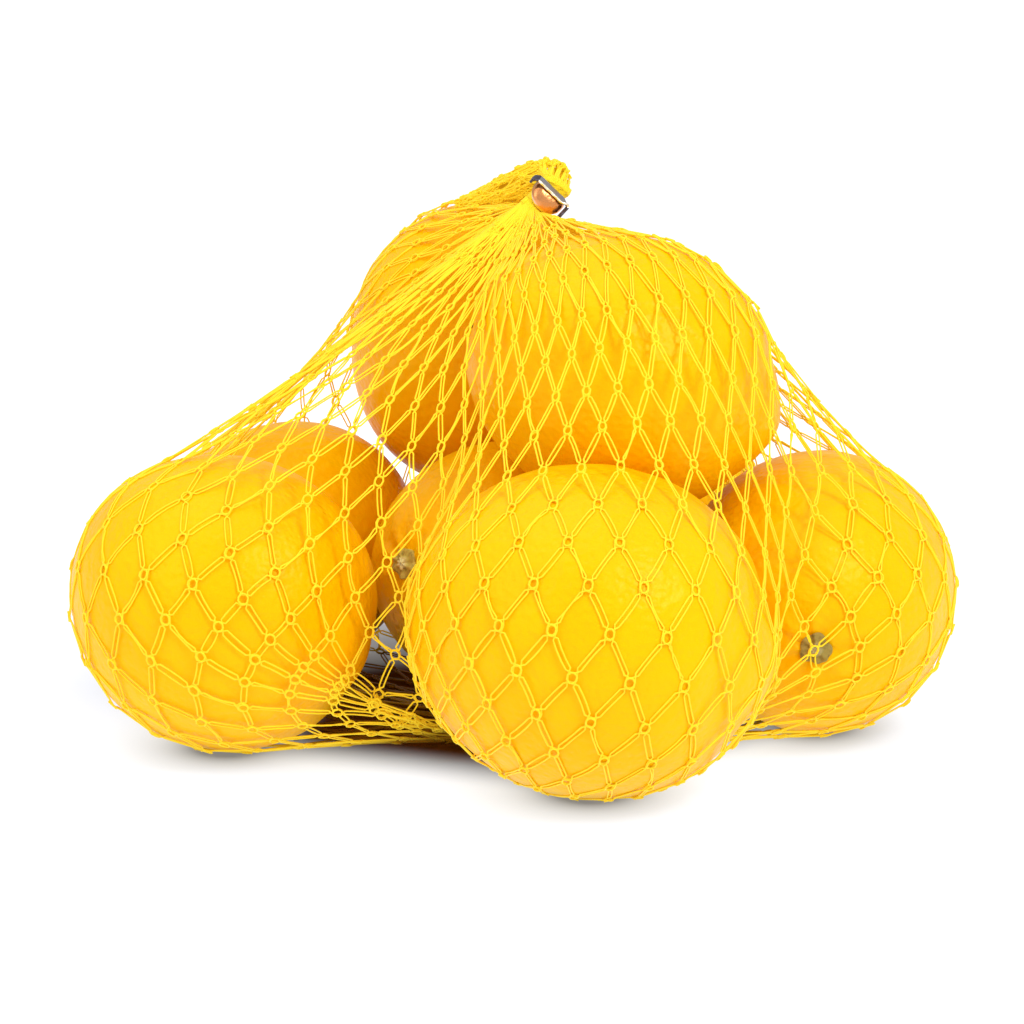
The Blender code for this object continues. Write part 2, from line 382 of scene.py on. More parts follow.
HEAP_MIDDLE = np.array([0.5, 0.4])
NET_STANDOFF = 0.5  # how far the knots stand off a lemon
COLUMNS, ROWS = 60, 28  # meshes around, and rows of knots from the neck to the gather
STRAND = 9.5  # length of net between two knots
SACK_REACH, SACK_BELLY = 120.0, 0.7  # half width and fullness of the sack it starts from
SETTLE_STEPS, PULL_RATE = 3600, 0.3
COLUMN_SHAPE, MESH_SLIDE = 0.005, 0.3  # how fast columns straighten and rows even out
SLACK_PULL, TWIST_PULL = 0.03, 0.024  # down the net, and round it from the twisted neck
GATHER, GATHER_RADIUS = np.array([18.0, -30.0, 0.3]), 3.0
CLIP_MIDDLE = np.array([6.8, 14.4, 109.5])
NECK_WAY = unit([0.68, 0.20, 0.70])  # from the neck towards the tail
CLIP_WAY = np.array([0.70, 0.0, -0.71])  # the way the clip's straight side runs
NECK_WIDE = unit(CLIP_WAY - NECK_WAY * (CLIP_WAY @ NECK_WAY))
NECK_FRONT = np.cross(NECK_WIDE, NECK_WAY)
NECK_BELOW, NECK_HALF_WIDE, NECK_HALF_THICK = 4.2, 2.9, 2.1
FILAMENT = 0.18  # radius of a filament
FILAMENT_DRAWN = (0.9, 1.12)  # least and most part of it along the line
SECTION = 5  # sides of its section
PEEL_GAP = FILAMENT * 0.9  # from a filament's middle line to the peel
NEARBY = 3  # no peel reaches farther beyond a lemon's half length
LEAST_WIDTH = 1.5  # a crushed mesh stays this wide
OPENNESS = (0.05, 1.5)  # least and most width of a mesh, as a part of its height
NET_YELLOW, NET_PAINTED_GLOW = "#FFDD30", 0.10  # its colour, and a painted glow: light that a filament gives off though it is no lamp
NET_PAINTED_SHADE = "#8A6410"  # its colour in painted shade, where little light reaches it
DEEP_HEIGHT, DEEP_FADE = 3, 9  # how high the painted shade reaches there, and the way over which it ends
NET_PARTS = 6  # the net is made in this many widths, side by side

# The loops' arcs, which go round the knots as rings. Pairs are least and most of what varies.
RING = 1.0  # radius of a ring's middle line
RING_WIDE, RING_TALL = (0.6, 1.0), 1.12  # its half width and half height, as parts of that
RING_CLOSE, RING_OPEN = 0.55, 0.65  # half width in a closed mesh, and more by its openness
RING_ROOM, RING_RISE = 0.27, (0.25, 0.4)  # most half sizes in a narrow mesh, by its width
ARC_POINTS = 6
ARC_SIZE, ARC_HALF = (0.84, 1.08), (96, 122)  # part of the ring's size, half turn in degrees
ARC_LIFT, ARC_WAVE = (0.0, 0.35), 0.12  # how they lie over one another

# The loops' sides, which run in pairs from knot to knot.
TWIN = (0.36, 0.74)  # half distance between the two of a pair
TWIN_CLOSE, TWIN_OPEN = 0.28, 0.62  # that in a closed mesh, and more by its openness
TWIN_ROOM, TWIN_LEAST = 0.2, 0.02  # most of it in a narrow mesh, by its width
SIDE_POINTS, SIDE_START = 4, 0.19  # where a side begins on the way to the next knot
SIDE_ENDS, SIDE_BOW = (0.55, 0.9), (0.25, 1.15)  # parts of it at a side's ends and middle
BOW_START = 0.1  # where the bow begins on the way
SIDE_CROSSED, CROSSED_BOW = 0.1, -0.5  # part of the sides that cross their twin, and how far
SIDE_RISE = (0.0, 0.2)  # how they lie over one another

# Where the net is drawn together, its knots are shifted along it to hide the rows.
SHUT_WIDTH, OPEN_WIDTH = 1.5, 4.0  # meshes are shifted in full below, and not at all above
SHUFFLE = (-0.5, 0.5)  # as a part of a row

# The tail's middle line from the clip's middle, with its two half sizes.
TAIL = (
    ((0.0, 0.0, 0.0), 2.9, 2.1),
    ((1.5, 0.5, 1.6), 3.0, 2.4),
    ((2.4, 1.8, 3.4), 3.3, 2.8),
    ((1.2, 5.0, 3.8), 3.8, 3.2),
    ((-3.0, 9.5, 1.6), 4.8, 3.2),
    ((-8.0, 14.5, -1.6), 4.4, 3.0),
    ((-13.0, 19.5, -4.2), 3.4, 2.6),
    ((-18.5, 24.5, -6.0), 1.9, 1.8),
)
TAIL_ROWS, TAIL_FIRST = 8, 2.6  # rows of knots beyond the clip, and where the first one is
TAIL_LOOSE = 6  # the way over which it comes loose beyond the clip
TAIL_SHIFT = (-0.45, 0.45)  # crumpling shifts a knot along, as a part of a row
TAIL_SWING = 0.22  # and round the tail, in radians
TAIL_FILL, TAIL_DENT, TAIL_FOLD = 0.92, 0.30, (-0.3, 1)  # and in from the tail's half size


def push_out(points, standoff):
    """Points moved straight out of every lemon, taken as an ellipsoid, and off the table."""
    for name in LEMONS:
        middle, axes, a, b = lemon_axes(name)
        away = points - middle
        along = away @ axes[0]
        across = np.sqrt(np.maximum((away * away).sum(-1) - along**2, 0))
        inside = np.hypot(along / (a + standoff), across / (b + standoff))
        points = np.where(inside[..., None] < 1, middle + away / inside[..., None], points)
    points[..., 2] = np.maximum(points[..., 2], FILAMENT)
    return points


def push_off_peel(points, gap):
    """Points moved out of the lemons' own uneven peel until they are the gap away."""
    for name in LEMONS:
        middle, _, a, _ = lemon_axes(name)
        away = points - middle
        far = np.linalg.norm(away, axis=-1)
        near = far < a + NEARBY
        ways = away[near] / far[near][:, None]
        least = lemon_reach(name, ways) + gap
        points[near] = middle + ways * np.maximum(far[near], least)[:, None]
    points[..., 2] = np.maximum(points[..., 2], FILAMENT)
    return points


def lower_knots(net):
    """For each knot of all rows but the last, the knots to its lower right and lower left."""
    rows = net[1:]
    even = (np.arange(len(rows)) % 2 == 0)[:, None, None]
    right = np.where(even, rows, np.roll(rows, -1, axis=1))
    left = np.where(even, np.roll(rows, 1, axis=1), rows)
    return right, left


def pulls(net):
    """The pull on each knot of the strands that are longer than they can be."""
    even = (np.arange(ROWS) % 2 == 0)[:, None, None]
    right, left = (lower - net[:-1] for lower in lower_knots(net))
    right = right * np.maximum(1 - STRAND / np.linalg.norm(right, axis=-1, keepdims=True), 0)
    left = left * np.maximum(1 - STRAND / np.linalg.norm(left, axis=-1, keepdims=True), 0)
    total = np.zeros_like(net)
    total[:-1] += right + left
    total[1:] -= np.where(even, right, np.roll(right, 1, axis=1))
    total[1:] -= np.where(even, np.roll(left, -1, axis=1), left)
    return total


def evened(net):
    """A step of each knot along its row, to halfway between its two neighbours."""
    before, after = np.roll(net, 1, axis=1), np.roll(net, -1, axis=1)
    line = unit(after - before)
    off = (before + after) / 2 - net
    return (off * line).sum(-1, keepdims=True) * line


def settled_net():
    """Rows of knots from the neck down to the gather, pulled tight over the lemons.

    The net starts as a wide sack. In each step strands that are too long pull their knots
    together, rows even out, and lemons and table push the knots out. All slack is drawn down
    to the gather, and the twist of the neck turns the upper rows one way, the lower the other.
    """
    rows = np.arange(ROWS + 1)[:, None]
    turns = 2 * math.pi * (np.arange(COLUMNS)[None, :] + 0.5 * (rows % 2)) / COLUMNS
    level = np.stack([np.cos(turns), np.sin(turns), 0 * turns], axis=-1)
    neck = CLIP_MIDDLE - NECK_BELOW * NECK_WAY
    t = rows[..., None] / ROWS
    net = (1 - t) * neck + t * GATHER + 0 * level
    net[..., :2] += np.sin(math.pi * t) * (HEAP_MIDDLE - net[..., :2])
    net += SACK_REACH * np.sin(math.pi * t) ** SACK_BELLY * level
    first = neck + NECK_HALF_WIDE * np.cos(turns[0])[:, None] * NECK_WIDE
    first -= NECK_HALF_THICK * np.sin(turns[0])[:, None] * NECK_FRONT
    last = GATHER + GATHER_RADIUS * level[-1]
    for _ in range(SETTLE_STEPS):
        net[0], net[-1] = first, last
        step = PULL_RATE * pulls(net)
        step[2:-2] += COLUMN_SHAPE * ((net[:-4] + net[4:]) / 2 - net[2:-2])
        step[2:-2] += SLACK_PULL * unit(net[4:] - net[:-4])
        step += MESH_SLIDE * evened(net)
        round_row = unit(np.roll(net, -1, axis=1) - np.roll(net, 1, axis=1))
        step[1:-1] += TWIST_PULL * (np.cos(math.pi * t) * round_row)[1:-1]
        net = push_out(net + step, NET_STANDOFF)
    net[0], net[-1] = first, last
    return net


def shuffled(net, random):
    """Knots shifted along the net where its meshes are closed, so that no rows show there."""
    wide = np.linalg.norm(np.roll(net, -1, axis=1) - np.roll(net, 1, axis=1), axis=-1) / 2
    shut = np.clip((OPEN_WIDTH - wide) / (OPEN_WIDTH - SHUT_WIDTH), 0, 1)[1:-1, :, None]
    shift = random.uniform(*SHUFFLE, wide.shape)[1:-1, :, None]
    net[1:-1] += shut * shift * (net[2:] - net[:-2]) / 2
    return net


def tail_net(random):
    """Rows of knots from the tail's end back to the clip, crumpled.

    A knot at turn u of a row sits at m + r (a cos(u) wide + b sin(u) thick) about the middle
    line, where r, u and the distance along the line are shaken at random.
    """
    middles = CLIP_MIDDLE + np.array([offset for offset, _, _ in TAIL])
    halves = np.array([(a, b) for _, a, b in TAIL])
    runs = np.append(0, np.cumsum(np.linalg.norm(np.diff(middles, axis=0), axis=1)))
    rows = np.arange(TAIL_ROWS)[:, None]
    spacing = (runs[-1] - TAIL_FIRST) / (TAIL_ROWS - 1)
    along = TAIL_FIRST + spacing * (TAIL_ROWS - 1 - rows) + np.zeros((1, COLUMNS))
    along += spacing * random.uniform(*TAIL_SHIFT, along.shape) * (rows < TAIL_ROWS - 1)
    along = np.clip(along, TAIL_FIRST, runs[-1])
    place = np.stack([np.interp(along, runs, middles[:, i]) for i in range(3)], axis=-1)
    ahead = np.stack([np.interp(along + 1, runs, middles[:, i]) for i in range(3)], axis=-1)
    behind = np.stack([np.interp(along - 1, runs, middles[:, i]) for i in range(3)], axis=-1)
    way = unit(ahead - behind)
    wide = unit(NECK_WIDE - way * (way @ NECK_WIDE)[..., None])
    thick = np.cross(way, wide)
    turns = 2 * math.pi * (np.arange(COLUMNS)[None, :] + 0.5 * (rows % 2)) / COLUMNS
    loose = np.clip((along - TAIL_FIRST) / TAIL_LOOSE, 0, 1)
    turns = turns + loose * random.normal(0, TAIL_SWING, turns.shape)
    far = TAIL_FILL - loose * TAIL_DENT * random.uniform(*TAIL_FOLD, turns.shape) ** 2
    a = np.interp(along, runs, halves[:, 0]) * far
    b = np.interp(along, runs, halves[:, 1]) * far
    return place + (a * np.cos(turns))[..., None] * wide + (b * np.sin(turns))[..., None] * thick


def knot_frames(net):
    """(across, up, out, width) at each knot: up runs along the net, out stands off it."""
    right, left = lower_knots(net)
    low = np.concatenate([(right + left) / 2, net[-1:]])
    even = (np.arange(len(net) - 1) % 2 == 0)[:, None, None]
    above = net[:-1]
    high = np.where(even, (above + np.roll(above, -1, 1)) / 2, (above + np.roll(above, 1, 1)) / 2)
    high = np.concatenate([net[:1], high])
    beside = np.roll(net, -1, axis=1) - np.roll(net, 1, axis=1)
    up = unit(high - low)
    out = unit(np.cross(beside, up))
    return np.cross(up, out), up, out, np.linalg.norm(beside, axis=-1) / 2


def mesh_loops(net, random):
    """(points, outs) of one closed filament loop for each mesh of the net.

    At each corner the loop goes round the far side of the knot in an arc of an oval, and
    between corners it runs beside the line of the two knots, on the mesh's own side.
    """
    across, up, out, width = knot_frames(net)
    width = np.maximum(width, LEAST_WIDTH)
    count = len(net) - 2
    rows = np.arange(count)[:, None] + np.zeros((1, COLUMNS), int)
    j = np.arange(COLUMNS)[None, :] + np.zeros((count, 1), int)
    even = rows % 2 == 0
    corners = (  # row, column and the way the far side of the knot lies, right to up
        (rows, j, 90.0),
        (rows + 1, np.where(even, j, j + 1) % COLUMNS, 0.0),
        (rows + 2, j, -90.0),
        (rows + 1, np.where(even, j - 1, j) % COLUMNS, -180.0),
    )
    height = np.linalg.norm(net[:-2] - net[2:], axis=-1)
    size = width[1:-1]
    openness = np.clip(size / np.maximum(height, 1e-6), *OPENNESS)
    pieces, outs = [], []
    for c, (row, column, far) in enumerate(corners):
        knot = net[row, column]
        e1, e2, n = across[row, column], up[row, column], out[row, column]
        w = width[row, column]
        round_x = RING * np.clip(RING_CLOSE + RING_OPEN * openness, *RING_WIDE)
        round_x = np.minimum(round_x, RING_ROOM * w)
        round_y = np.minimum(RING * RING_TALL, RING_RISE[0] + RING_RISE[1] * w)
        round_x = round_x * random.uniform(*ARC_SIZE, w.shape)
        round_y = round_y * random.uniform(*ARC_SIZE, w.shape)
        half = np.radians(random.uniform(*ARC_HALF, w.shape))
        part = np.linspace(1, -1, ARC_POINTS)
        angle = math.radians(far) + half[..., None] * part
        lift = random.uniform(*ARC_LIFT, w.shape)[..., None] + ARC_WAVE * np.cos(part * 3)
        points = (
            knot[..., None, :]
            + (round_x[..., None] * np.cos(angle))[..., None] * e1[..., None, :]
            + (round_y[..., None] * np.sin(angle))[..., None] * e2[..., None, :]
            + lift[..., None] * n[..., None, :]
        )
        pieces.append(points)
        outs.append(np.broadcast_to(n[..., None, :], points.shape))
        row2, column2, _ = corners[(c + 1) % 4]
        other, n2 = net[row2, column2], out[row2, column2]
        n_mid = unit(n + n2)
        line = other - knot
        inward = unit(np.cross(line, n_mid))
        middle_of_mesh = (net[rows, j] + net[rows + 2, j]) / 2
        inward = inward * np.sign(((middle_of_mesh - knot) * inward).sum(-1))[..., None]
        spread = np.clip(TWIN_CLOSE + TWIN_OPEN * openness, *TWIN)
        narrow = np.minimum(w, width[row2, column2])
        spread = np.minimum(spread, TWIN_ROOM * narrow + TWIN_LEAST)
        t = np.linspace(SIDE_START, 1 - SIDE_START, SIDE_POINTS)
        bow = random.uniform(*SIDE_BOW, w.shape)
        bow = np.where(random.uniform(size=w.shape) < SIDE_CROSSED, CROSSED_BOW * bow, bow)
        ends = random.uniform(*SIDE_ENDS, w.shape + (2,))
        hump = np.sin(math.pi * (t - BOW_START) / (1 - 2 * BOW_START))
        beside = ends[..., :1] * (1 - t) + ends[..., 1:] * t
        beside = beside * (1 - hump) + bow[..., None] * hump
        rise = random.uniform(*SIDE_RISE, w.shape)
        points = (
            knot[..., None, :]
            + t[:, None] * line[..., None, :]
            + (spread[..., None] * beside)[..., None] * inward[..., None, :]
            + rise[..., None, None] * n_mid[..., None, :]
        )
        pieces.append(points)
        outs.append(np.broadcast_to(n_mid[..., None, :], points.shape))
    return np.concatenate(pieces, axis=2), np.concatenate(outs, axis=2)


def tubes(points, outs, radii):
    """(points, faces) of closed tubes along lines: lines by points by 3, with the ways out.

    Each point's section is r (cos a n + sin a b) for the line's own normals n and b.
    """
    way = unit(np.roll(points, -1, axis=1) - np.roll(points, 1, axis=1))
    beside = unit(np.cross(way, outs))
    normal = np.cross(beside, way)
    a = np.arange(SECTION) * 2 * math.pi / SECTION
    ring = np.cos(a)[:, None] * normal[:, :, None, :] + np.sin(a)[:, None] * beside[:, :, None, :]
    skin = points[:, :, None, :] + radii[..., None, None] * ring
    lines, steps = points.shape[:2]
    i, s, k = np.meshgrid(np.arange(lines), np.arange(steps), np.arange(SECTION), indexing="ij")
    here, after = ((i * steps + step) * SECTION for step in (s, (s + 1) % steps))
    turn = (k + 1) % SECTION
    quads = np.stack([here + k, after + k, after + turn, here + turn], axis=-1)
    return skin.reshape(-1, 3), quads.reshape(-1, 4)


def polyethylene():
    """Drawn polyethylene filament: glossy and clear yellow, with a painted glow, light given off
    though it is no lamp.

    The attribute "daylight" dims that painted glow and turns its colour to painted shade deep
    inside the heap.
    """
    made, tree, shader = new_material("yellow_polyethylene_filament")
    left = add_node(tree, "ShaderNodeAttribute", attribute_name="daylight").outputs["Fac"]
    # painted glow, dimmed where the painted shade lies
    glow = add_node(tree, "ShaderNodeMath", {0: left, 1: NET_PAINTED_GLOW}, operation="MULTIPLY")
    # painted shade: the colour goes a deep gold-brown low inside the heap
    colour = add_node(
        tree,
        "ShaderNodeMix",
        {"Factor": left, "A": linear(NET_PAINTED_SHADE), "B": linear(NET_YELLOW)},
        data_type="RGBA",
    )
    tree.links.new(colour.outputs["Result"], shader.inputs["Base Color"])
    tree.links.new(glow.outputs[0], shader.inputs["Emission Strength"])
    shader.inputs["Roughness"].default_value = 0.4
    shader.inputs["Specular Tint"].default_value = linear(NET_YELLOW)
    shader.inputs["Emission Color"].default_value = linear(NET_YELLOW)
    return made


def feet_places():
    """Where the lemons that lie on the table stand."""
    return np.array([lemon_axes(name)[0][:2] for name in LEMONS if LEMONS[name][5] is None])


def beyond_hull(points, spots):
    """How far points lie outside the hull of spots: the largest of p . n - h(n) over n."""
    turns = np.arange(90) * 2 * math.pi / 90
    ways = np.stack([np.cos(turns), np.sin(turns)])
    return (points[:, :2] @ ways - (spots @ ways).max(axis=0)).max(axis=1)


def daylight(points):
    """Painted shade: the part of the light that reaches points, 1 all over, less on the table
    inside the heap.
    """
    inside = beyond_hull(points, feet_places())
    low = np.clip(1 - (points[:, 2] - DEEP_HEIGHT) / DEEP_FADE, 0, 1)
    return 1 - low * np.clip(-inside / DEEP_FADE, 0, 1)


filament = polyethylene()
random = np.random.default_rng(7)
net = np.concatenate([tail_net(random), shuffled(settled_net(), random)])
loops, loop_outs = mesh_loops(net, random)
loops = push_off_peel(loops.reshape(-1, 3), PEEL_GAP).reshape(loops.shape)
for width in range(NET_PARTS):
    part = (np.arange(COLUMNS) * NET_PARTS // COLUMNS) == width
    lines = loops[:, part].reshape(-1, loops.shape[2], 3)
    outs = loop_outs[:, part].reshape(lines.shape)
    radii = FILAMENT * random.uniform(*FILAMENT_DRAWN, lines.shape[:2])
    skin, faces = tubes(lines, outs, radii)
    made = add_mesh(f"net_{width + 1}", skin, faces)
    # the painted shade and painted glow at each point
    add_layer(made, "daylight", daylight(skin))
    made.data.materials.append(filament)
    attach(made, "root")
    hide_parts("net_bag")

# ----------------------------------------------------------------------------- the clip
# A strip of soft aluminium that the packing machine bends round the neck and crimps. Its
# rounded front is lacquered a pale copper. The bar along its top edge ends in a curled hook
# at one side and in a leg bent down at the other. A painted highlight runs along one edge of
# the bar and along the band's lower rim, and the hook and the leg are painted darker as shade.

BAND_GAP, BAND_SHEET = 0.3, 0.6  # between the band and the neck, and the band's thickness
BAND_TOP, BAND_CROWN, BAND_DOME = 0.7, 3.3, 0.8  # above the middle, below it, and the bulge
BAND_AROUND = 144
# Its section: part of the way down the outer side and back, and out through the sheet.
BAND_DOWN = np.array([0.0, 0.04, 0.15, 0.3, 0.5, 0.7, 0.86, 0.96, 1.0, 0.97, 0.7, 0.4, 0.1, 0.01])
BAND_OUT = np.array([0.5, 0.85, 1, 1, 1, 1, 1, 0.85, 0.5, 0.15, 0, 0, 0, 0.15])
BAR_HALF_WIDE, BAR_HALF_THICK = 1.05, 0.3
BAR_REACH, BAR_RISE, BAR_OUT = 3.8, 0.9, 3.3  # half length, and where it runs on the band
BAR_LEAN = 38  # degrees its flat side leans to the front
HOOK_RADIUS, HOOK_TURN = 1.3, 1.9  # the curl, and how far it turns in radians
CORNER_RADIUS, LEG_LENGTH = 0.5, 3.4
# The bar's section: its corners along the strip's half width and off it by its half thickness.
BAR_ALONG = np.array([1, 0.86, 0.66, -0.8, -1, -1, -0.8, 0.8, 1])
BAR_OFF = np.array([0.5, 1, 1, 1, 0.5, -0.5, -1, -1, -0.5])
DENT_SCALE, DENT_DEPTH = 900.0, 0.0003  # a metre: dents about 1 mm apart
# the lacquer, the bare sides, and a painted highlight along the lower rim
BAND_COPPER, BAND_SIDE, BAND_PAINTED_HIGHLIGHT = "#EBA063", "#6F675F", "#F3D9B8"
# the bar's grey, its hook and leg in painted shade, and a painted highlight along one edge
BAR_GREY, BAR_PAINTED_SHADE, BAR_PAINTED_HIGHLIGHT = "#A5A2AC", "#5E5661", "#FFF4DE"


def metal(name, roughness):
    """Rolled aluminium: its colour from the mesh, dull where the crimping tool dented it."""
    made, tree, shader = new_material(name)
    place = add_node(tree, "ShaderNodeTexCoord").outputs["Object"]
    # the mesh's colours, with painted highlights and painted shade
    colour = add_node(tree, "ShaderNodeAttribute", attribute_name="lacquer_and_painted_light")
    dents = add_node(
        tree, "ShaderNodeTexNoise", {"Vector": place, "Scale": DENT_SCALE, "Detail": 4.0}
    )
    bump = add_node(
        tree,
        "ShaderNodeBump",
        {"Height": dents.outputs["Fac"], "Strength": 0.5, "Distance": DENT_DEPTH},
    )
    worn = add_node(
        tree,
        "ShaderNodeMix",
        {"Factor": dents.outputs["Fac"], "A": colour.outputs["Color"], "B": linear("#FFFFFF")},
        data_type="RGBA",
        blend_type="MULTIPLY",
    )
    tree.links.new(worn.outputs["Result"], shader.inputs["Base Color"])
    tree.links.new(bump.outputs[0], shader.inputs["Normal"])
    shader.inputs["Roughness"].default_value = roughness
    shader.inputs["Metallic"].default_value = 1.0
    return made


def paint(made, colours):
    """Gives each vertex of a mesh its colour: lacquer or bare metal, with painted highlights and
    painted shade.
    """
    layer = made.data.color_attributes.new("lacquer_and_painted_light", "FLOAT_COLOR", "POINT")
    layer.data.foreach_set("color", colours.astype(np.float32).ravel())


def add_clip_band(finish):
    """A strip about the neck, closed round a rounded rectangle.

    Its section runs down the outer side and back up the inner one. The lower edge is lowered
    by a half oval at the front, where the outer side also bulges, both as sqrt(1 - x^2).
    """
    u = np.arange(BAND_AROUND)[:, None] * 2 * math.pi / BAND_AROUND
    cos, sin = np.cos(u), np.sin(u)
    square = (np.abs(cos) ** 3 + np.abs(sin) ** 3) ** (-1 / 3)
    crown = np.sqrt(np.maximum(1 - (cos * square) ** 2, 0)) * (sin > 0)
    out = BAND_OUT * BAND_SHEET
    bulge = np.sin(math.pi * BAND_DOWN) ** 0.5 * (out > 0.3 * BAND_SHEET)
    low = BAND_TOP + BAND_CROWN * crown
    height = BAND_TOP - BAND_DOWN * (BAND_TOP + low)
    more = BAND_GAP + out + BAND_DOME * bulge * crown
    a, b = NECK_HALF_WIDE + more, NECK_HALF_THICK + more
    points = (
        CLIP_MIDDLE
        + (a * cos * square)[..., None] * NECK_WIDE
        + (b * sin * square)[..., None] * NECK_FRONT
        + height[..., None] * NECK_WAY
    )
    count = len(BAND_DOWN)
    faces = grid_faces(BAND_AROUND + 1, count) % (BAND_AROUND * count)
    made = add_mesh("clip_band", points.reshape(-1, 3), faces[:, ::-1])
    front = (out == BAND_SHEET) & (crown > 0.35)
    # painted highlight along the band's lower rim
    highlit_rim = (BAND_DOWN > 0.93) & (out > 0.1)
    colours = np.where(front[..., None], linear(BAND_COPPER), linear(BAND_SIDE))
    colours = np.where(highlit_rim[None, :, None], linear(BAND_PAINTED_HIGHLIGHT), colours)
    paint(made, colours.reshape(-1, 4))
    made.data.materials.append(finish)
    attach(made, "root")
    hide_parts("clip")


def add_clip_bar(finish):
    """A flat bar swept along its path: from the hook's curl, along the band, down the leg.

    A corner of its section lies at p + x w edge + y h off from the path's point p.
    """
    start = CLIP_MIDDLE + BAR_RISE * NECK_WAY + BAR_OUT * NECK_FRONT
    lean = math.radians(BAR_LEAN)
    flat = math.cos(lean) * NECK_WAY + math.sin(lean) * NECK_FRONT
    turn = np.linspace(HOOK_TURN, 0, 22)[:, None]
    curl_off = np.cos(turn) * flat - np.sin(turn) * NECK_WIDE
    curl = start - BAR_REACH * NECK_WIDE + HOOK_RADIUS * (curl_off - flat)
    part = np.linspace(-1, 1, 30)[1:-1, None]
    lean = lean * np.clip(3 * (1 - part), 0, 1)
    run = start + BAR_REACH * part * NECK_WIDE
    run_off = np.cos(lean) * NECK_WAY + np.sin(lean) * NECK_FRONT
    bend = np.linspace(0, math.pi / 2, 8)[:, None]
    bend_off = np.cos(bend) * NECK_WAY + np.sin(bend) * NECK_WIDE
    corner = start + BAR_REACH * NECK_WIDE + CORNER_RADIUS * (bend_off - NECK_WAY)
    leg = corner[-1] - np.linspace(0, LEG_LENGTH, 14)[1:, None] * NECK_WAY
    path = np.concatenate([curl, run, corner, leg])
    off = np.concatenate([curl_off, run_off, bend_off, np.tile(NECK_WIDE, (len(leg), 1))])
    way = unit(np.gradient(path, axis=0))
    edge = unit(np.cross(way, off))
    off = np.cross(edge, way)
    worn = BAR_HALF_WIDE * (1 + 0.05 * np.sin(np.arange(len(path)) * 0.9))[:, None, None]
    skin = path[:, None] + worn * BAR_ALONG[:, None] * edge[:, None]
    skin = skin + BAR_HALF_THICK * BAR_OFF[:, None] * off[:, None]
    sides, steps = len(BAR_ALONG), len(path)
    ends = [np.arange(sides)[None], (steps - 1) * sides + np.arange(sides)[None, ::-1]]
    made = add_mesh("clip_bar", skin.reshape(-1, 3), [grid_faces(steps, sides), *ends], False)
    # painted shade: the hook's curl and the leg are coloured darker
    dark = (np.arange(steps) < len(curl) - 3) | (np.arange(steps) > steps - len(leg) - 3)
    colours = np.where(dark[:, None, None], linear(BAR_PAINTED_SHADE), linear(BAR_GREY))
    # painted highlight along one edge of the bar
    painted_highlight = (BAR_ALONG > 0.84)[None, :, None] & ~dark[:, None, None]
    colours = np.where(painted_highlight, linear(BAR_PAINTED_HIGHLIGHT), colours)
    paint(made, np.broadcast_to(colours, skin.shape[:2] + (4,)).reshape(-1, 4))
    made.data.materials.append(finish)
    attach(made, "root")
    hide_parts("clip")


add_clip_band(metal("copper_lacquered_aluminium", 0.3))
add_clip_bar(metal("crimped_aluminium", 0.38))

# ------------------------------------------------------------------------------ the set
# A white table lit from below, in a white room, with a small lamp at the front right, a broad
# one high above, and a weak one at the front left.

# The grid's lines run close together up to GRID_HALF from the middle, then at the distances
# of GRID_FAR, the last of which is half of the table's side.
GRID_HALF, GRID_LINES, GRID_FAR = 180, 241, np.array([250, 400, 1500, 7000])
# the table's colour, its painted shade under the heap, and its glow
FLOOR_WHITE, FLOOR_SHADE, FLOOR_GLOW = "#757D94", "#6B4210", 1.0
FOOT, FOOT_FADE, FOOT_SHADOW = 7.0, 8.0, 0.8  # radius of a lemon's contact, and the fade and depth of the painted shadow round it
UNDER_PART, UNDER_REACH, UNDER_SOFT = 0.6, 15.0, 11.0  # the painted shade on the floor under the heap
CAST_SHIFT, CAST_SOFT, CAST_DARK = np.array([-12.0, 45.0]), 60.0, 0.9  # the painted shadow behind it


def soft_step(distance, width):
    """0 well inside an edge and 1 well outside it, as 3 t^2 - 2 t^3 across the width."""
    t = np.clip(0.5 + distance / width / 2, 0, 1)
    return t**2 * (3 - 2 * t)


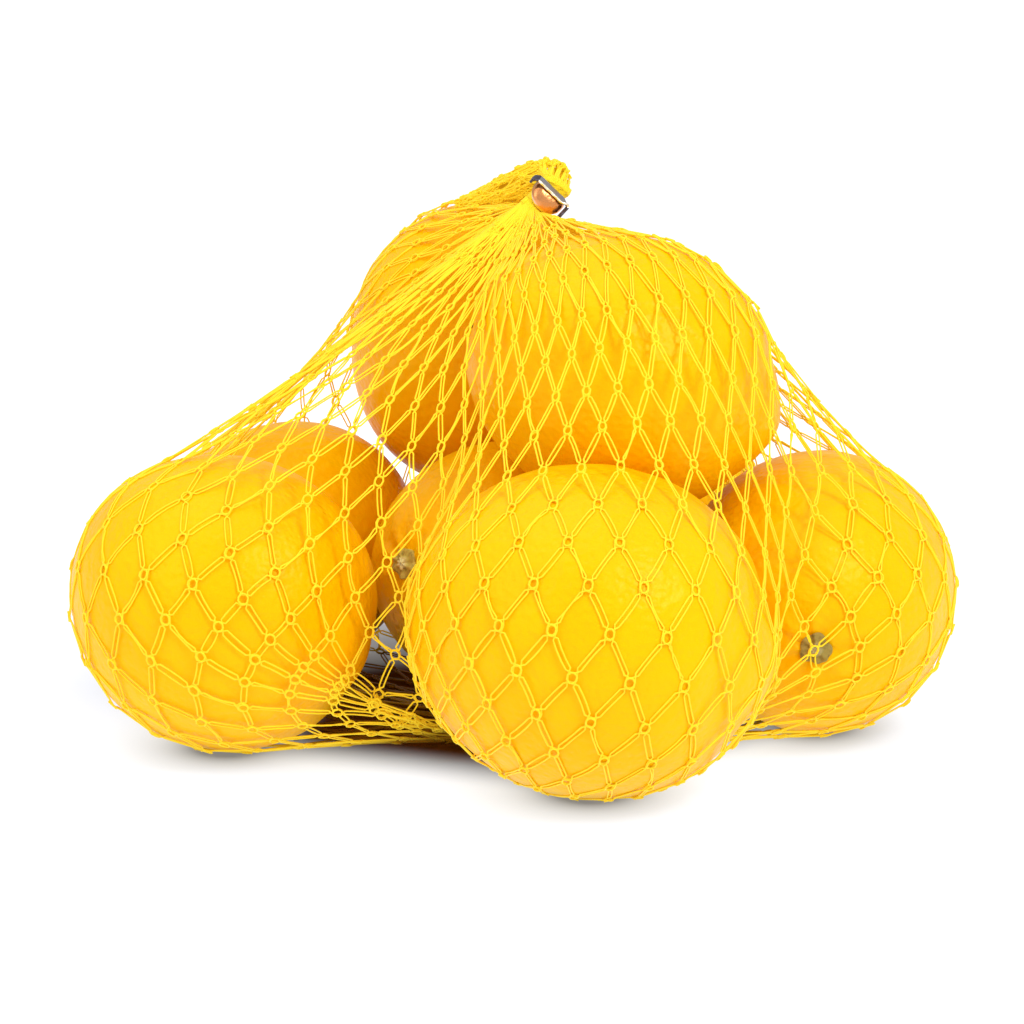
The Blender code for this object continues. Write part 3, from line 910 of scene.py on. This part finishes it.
def add_floor():
    """The table, lit from below, with painted shadows: darker at each lemon's foot and under and
    behind the heap.

    At a distance d from a foot its light is 1 - depth exp(-d / fade). Under the heap the table is
    painted in shade, as brown as the light that comes down between the lemons.
    """
    near = np.linspace(-GRID_HALF, GRID_HALF, GRID_LINES)
    line = np.concatenate([-GRID_FAR[::-1], near, GRID_FAR])
    x, y = np.meshgrid(line, line, indexing="ij")
    points = np.stack([x, y, 0 * x], axis=-1).reshape(-1, 3)
    faces = grid_faces(len(line), len(line), False)[:, ::-1]
    feet = feet_places()
    # painted contact shadow round each lemon's foot
    off = np.linalg.norm(points[:, None, :2] - feet, axis=2).min(axis=1)
    foot = 1 - FOOT_SHADOW * np.exp(-np.maximum(off - FOOT, 0) / FOOT_FADE)
    # painted shade under the heap
    middle = feet.mean(axis=0)
    under = beyond_hull(points, middle + UNDER_PART * (feet - middle)) - UNDER_REACH
    unshaded = soft_step(under, UNDER_SOFT)
    # painted shadow behind the heap
    cast = soft_step(beyond_hull(points, feet + CAST_SHIFT), CAST_SOFT)
    light = FLOOR_GLOW * foot * unshaded * (1 - CAST_DARK * (1 - cast))
    made = add_mesh("floor", points, faces)
    add_layer(made, "glow", light)
    add_layer(made, "unshaded", np.minimum(3 * unshaded, 1))
    finish, tree, shader = new_material("white_table")
    glow = add_node(tree, "ShaderNodeAttribute", attribute_name="glow")
    unshaded = add_node(tree, "ShaderNodeAttribute", attribute_name="unshaded")
    # painted shade: the table's colour goes brown under the heap
    colour = add_node(
        tree,
        "ShaderNodeMix",
        {"Factor": unshaded.outputs["Fac"], "A": linear(FLOOR_SHADE), "B": linear(FLOOR_WHITE)},
        data_type="RGBA",
    )
    tree.links.new(colour.outputs["Result"], shader.inputs["Base Color"])
    tree.links.new(glow.outputs["Fac"], shader.inputs["Emission Strength"])
    shader.inputs["Emission Color"].default_value = (1.0, 1.0, 1.0, 1.0)
    shader.inputs["Roughness"].default_value = 0.9
    shader.inputs["Specular IOR Level"].default_value = 0.0
    made.data.materials.append(finish)


def add_lamp(name, place, aim, size, power):
    """A square soft lamp that faces a point: places and size in metres, power in watts."""
    data = bpy.data.lights.new(name, "AREA")
    data.shape, data.size, data.energy = "SQUARE", size, power
    made = bpy.data.objects.new(name, data)
    bpy.context.scene.collection.objects.link(made)
    made.location = place
    way = unit(np.array(place) - np.array(aim))
    made.rotation_euler = (math.acos(way[2]), 0, math.atan2(way[0], -way[1]))


add_floor()
add_lamp("key", (0.33, -0.43, 0.56), (0, -0.02, 0.05), 0.15, 2.2)
add_lamp("top", (-0.3, -0.1, 1.3), (0, 0, 0.05), 0.9, 4)
add_lamp("fill", (-0.5, -0.4, 0.45), (0, 0, 0.06), 0.4, 0.8)
ROOM_LIGHT = 0.64
world = bpy.data.worlds.new("studio")
world.use_nodes = True
world.node_tree.nodes["Background"].inputs["Color"].default_value = (1, 1, 1, 1)
world.node_tree.nodes["Background"].inputs["Strength"].default_value = ROOM_LIGHT
bpy.context.scene.world = world

# The camera's lens in millimetres, its tilt down, the point it looks at, and how far off it is.
LENS, SENSOR, TILT = 123.05, 36, math.radians(13.85)
LOOK_AT, CAMERA_OFF = (-0.000965, -0.042635, 0.0544), 0.7
camera = bpy.data.cameras.new("camera")
camera.lens, camera.sensor_width, camera.clip_start = LENS, SENSOR, 0.01
eye = bpy.data.objects.new("camera", camera)
bpy.context.scene.collection.objects.link(eye)
x, y, z = LOOK_AT
eye.location = (x, y - CAMERA_OFF * math.cos(TILT), z + CAMERA_OFF * math.sin(TILT))
eye.rotation_euler = (math.pi / 2 - TILT, 0, 0)
bpy.context.scene.camera = eye
bpy.context.scene.view_settings.view_transform = "Standard"
